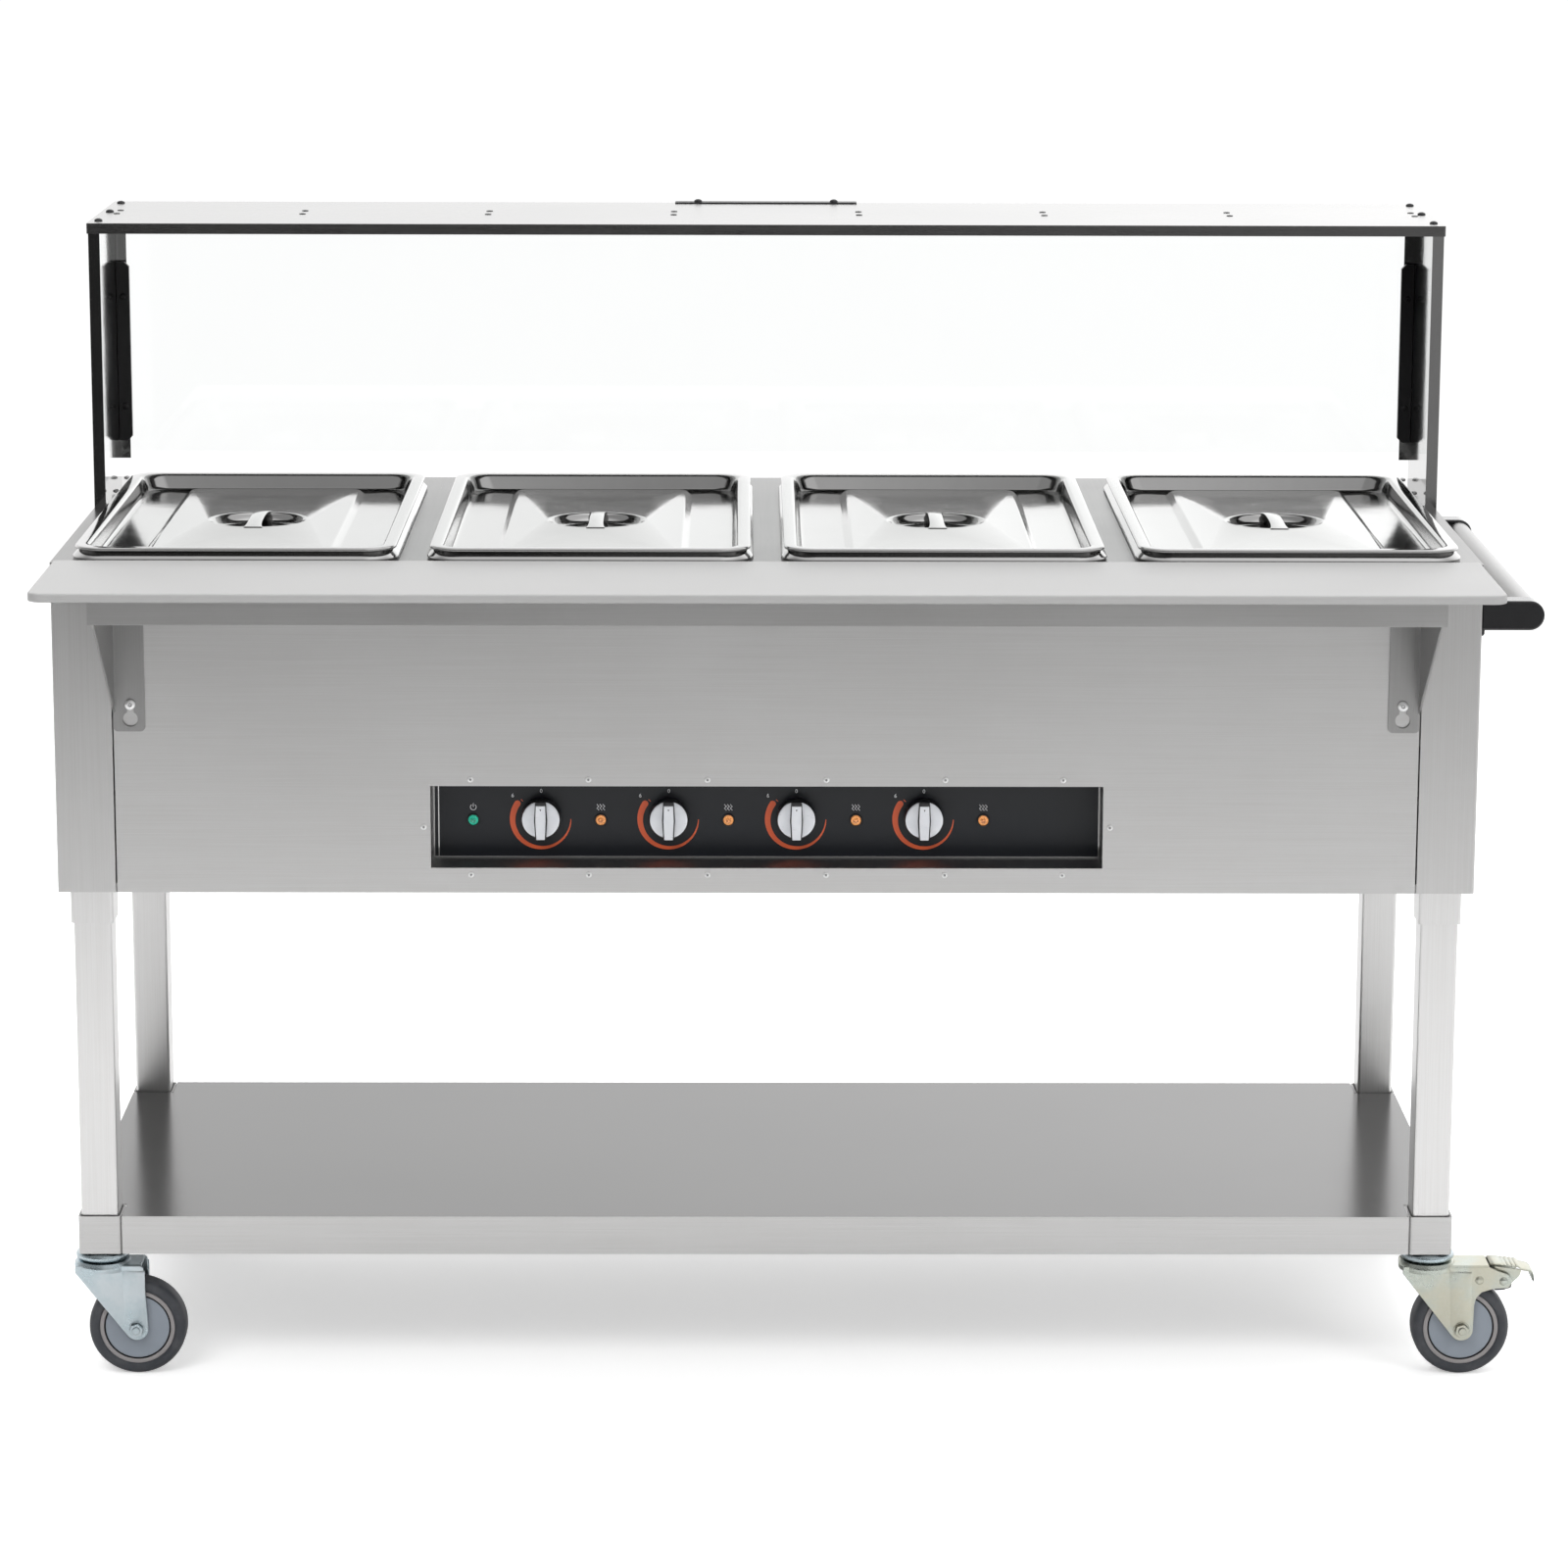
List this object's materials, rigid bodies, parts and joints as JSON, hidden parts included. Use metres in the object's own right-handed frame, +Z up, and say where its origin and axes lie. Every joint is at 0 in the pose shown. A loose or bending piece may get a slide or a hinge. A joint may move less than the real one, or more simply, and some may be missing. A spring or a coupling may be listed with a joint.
{
  "type": "steam table unit",
  "caption": "Wheeled stainless steam table with lidded food pans, front work board, sneeze guard with roof, knob controls, undershelf and push handle.",
  "frame": {"origin": "on the floor, under the middle of the whole unit", "axes": "+Z up, +X to the right end with the push handle, -Y towards the operator at the knobs and work board"},
  "size_m": [1.508, 0.81, 1.1573],
  "materials": {
    "stainless_panel": "horizontally brushed sheet",
    "stainless_tube": "lengthwise brushed tube",
    "stainless_polished": "polished pressing",
    "board_plastic": "matte cutting board",
    "black_plastic": "moulded black",
    "black_metal": "satin black",
    "fascia": "black panel with printed scales",
    "knob": "silver face on a black base",
    "lamp_green": "clear green",
    "lamp_amber": "clear amber",
    "glass": "clear tempered",
    "zinc": "bright zinc plate",
    "tyre": "grey rubber",
    "wheel_plastic": "blue grey plastic",
    "heater": "heat-tinted tube",
    "ceramic": "cream moulding"
  },
  "bodies": {
    "frame": {"left_side_panel": "stainless_panel", "right_side_panel": "stainless_panel", "front_panel": "stainless_panel", "back_panel": "stainless_panel", "top_deck": "stainless_panel", "bottom_cover": "stainless_panel", "leg_sockets": "stainless_tube", "legs": "stainless_tube", "undershelf": "stainless_panel", "water_wells": "stainless_panel", "heating_elements": "heater", "control_box": "stainless_panel", "control_panel": "fascia", "power_lamp": "lamp_green", "heating_lamps": "lamp_amber", "thermostats": "ceramic", "terminal_block": "ceramic", "cable_gland": "black_plastic", "body_screws": "zinc", "guard_sides": "stainless_panel", "guard_roof": "stainless_panel", "glass_pane": "glass", "glass_clamps": "black_metal", "guard_screws": "black_metal", "handle_tube": "stainless_tube", "handle_ends": "black_plastic", "caster_stems": "zinc"},
    "caster_front_left": {"caster_fork_front_left": "zinc", "caster_bolts_front_left": "zinc"},
    "wheel_front_left": {"tyre_front_left": "tyre", "wheel_hub_front_left": "wheel_plastic"},
    "caster_front_right": {"caster_fork_front_right": "zinc", "caster_bolts_front_right": "zinc"},
    "wheel_front_right": {"tyre_front_right": "tyre", "wheel_hub_front_right": "wheel_plastic"},
    "pedal_front_right": {"brake_pedal_front_right": "zinc"},
    "caster_back_left": {"caster_fork_back_left": "zinc", "caster_bolts_back_left": "zinc"},
    "wheel_back_left": {"tyre_back_left": "tyre", "wheel_hub_back_left": "wheel_plastic"},
    "pedal_back_left": {"brake_pedal_back_left": "zinc"},
    "caster_back_right": {"caster_fork_back_right": "zinc", "caster_bolts_back_right": "zinc"},
    "wheel_back_right": {"tyre_back_right": "tyre", "wheel_hub_back_right": "wheel_plastic"},
    "pan_1": {"food_pan_1": "stainless_polished"},
    "lid_1": {"food_lid_1": "stainless_polished"},
    "pan_2": {"food_pan_2": "stainless_polished"},
    "lid_2": {"food_lid_2": "stainless_polished"},
    "pan_3": {"food_pan_3": "stainless_polished"},
    "lid_3": {"food_lid_3": "stainless_polished"},
    "pan_4": {"food_pan_4": "stainless_polished"},
    "lid_4": {"food_lid_4": "stainless_polished"},
    "knob_1": {"control_knob_1": "knob"},
    "knob_2": {"control_knob_2": "knob"},
    "knob_3": {"control_knob_3": "knob"},
    "knob_4": {"control_knob_4": "knob"},
    "work_shelf": {"board_brackets": "stainless_panel", "board_beam": "stainless_panel", "cutting_board": "board_plastic"}
  },
  "joints": [
    {"name": "swivel_front_left", "type": "hinge", "parent": "frame", "child": "caster_front_left", "pos_m": [-0.7205, -0.1805, 0.115], "axis": [0, 0, 1], "continuous": true},
    {"name": "roll_front_left", "type": "hinge", "parent": "caster_front_left", "child": "wheel_front_left", "pos_m": [-0.6855, -0.1805, 0.05], "axis": [0, 1, 0], "continuous": true},
    {"name": "swivel_front_right", "type": "hinge", "parent": "frame", "child": "caster_front_right", "pos_m": [0.6445, -0.1805, 0.115], "axis": [0, 0, 1], "continuous": true},
    {"name": "roll_front_right", "type": "hinge", "parent": "caster_front_right", "child": "wheel_front_right", "pos_m": [0.6795, -0.1805, 0.05], "axis": [0, 1, 0], "continuous": true},
    {"name": "brake_front_right", "type": "hinge", "parent": "caster_front_right", "child": "pedal_front_right", "pos_m": [0.7215, -0.1805, 0.102], "axis": [0, 1, 0], "range_deg": [0, 12]},
    {"name": "swivel_back_left", "type": "hinge", "parent": "frame", "child": "caster_back_left", "pos_m": [-0.7205, 0.303, 0.115], "axis": [0, 0, 1], "continuous": true},
    {"name": "roll_back_left", "type": "hinge", "parent": "caster_back_left", "child": "wheel_back_left", "pos_m": [-0.6855, 0.303, 0.05], "axis": [0, 1, 0], "continuous": true},
    {"name": "brake_back_left", "type": "hinge", "parent": "caster_back_left", "child": "pedal_back_left", "pos_m": [-0.6435, 0.303, 0.102], "axis": [0, 1, 0], "range_deg": [0, 12]},
    {"name": "swivel_back_right", "type": "hinge", "parent": "frame", "child": "caster_back_right", "pos_m": [0.6445, 0.303, 0.115], "axis": [0, 0, 1], "continuous": true},
    {"name": "roll_back_right", "type": "hinge", "parent": "caster_back_right", "child": "wheel_back_right", "pos_m": [0.6795, 0.303, 0.05], "axis": [0, 1, 0], "continuous": true},
    {"name": "lift_pan_1", "type": "slide", "parent": "frame", "child": "pan_1", "axis": [0, 0, 1], "range_m": [0, 0.165]},
    {"name": "lift_lid_1", "type": "slide", "parent": "pan_1", "child": "lid_1", "axis": [0, 0, 1], "range_m": [0, 0.09]},
    {"name": "lift_pan_2", "type": "slide", "parent": "frame", "child": "pan_2", "axis": [0, 0, 1], "range_m": [0, 0.165]},
    {"name": "lift_lid_2", "type": "slide", "parent": "pan_2", "child": "lid_2", "axis": [0, 0, 1], "range_m": [0, 0.09]},
    {"name": "lift_pan_3", "type": "slide", "parent": "frame", "child": "pan_3", "axis": [0, 0, 1], "range_m": [0, 0.165]},
    {"name": "lift_lid_3", "type": "slide", "parent": "pan_3", "child": "lid_3", "axis": [0, 0, 1], "range_m": [0, 0.09]},
    {"name": "lift_pan_4", "type": "slide", "parent": "frame", "child": "pan_4", "axis": [0, 0, 1], "range_m": [0, 0.165]},
    {"name": "lift_lid_4", "type": "slide", "parent": "pan_4", "child": "lid_4", "axis": [0, 0, 1], "range_m": [0, 0.09]},
    {"name": "turn_knob_1", "type": "hinge", "parent": "frame", "child": "knob_1", "pos_m": [-0.2674, -0.164, 0.57985], "axis": [0, 1, 0], "range_deg": [0, 320]},
    {"name": "turn_knob_2", "type": "hinge", "parent": "frame", "child": "knob_2", "pos_m": [-0.1376, -0.164, 0.57985], "axis": [0, 1, 0], "range_deg": [0, 320]},
    {"name": "turn_knob_3", "type": "hinge", "parent": "frame", "child": "knob_3", "pos_m": [-0.0078, -0.164, 0.57985], "axis": [0, 1, 0], "range_deg": [0, 320]},
    {"name": "turn_knob_4", "type": "hinge", "parent": "frame", "child": "knob_4", "pos_m": [0.122, -0.164, 0.57985], "axis": [0, 1, 0], "range_deg": [0, 320]},
    {"name": "lift_work_shelf", "type": "slide", "parent": "frame", "child": "work_shelf", "axis": [0, 0, 1], "range_m": [0, 0.015]}
  ]
}
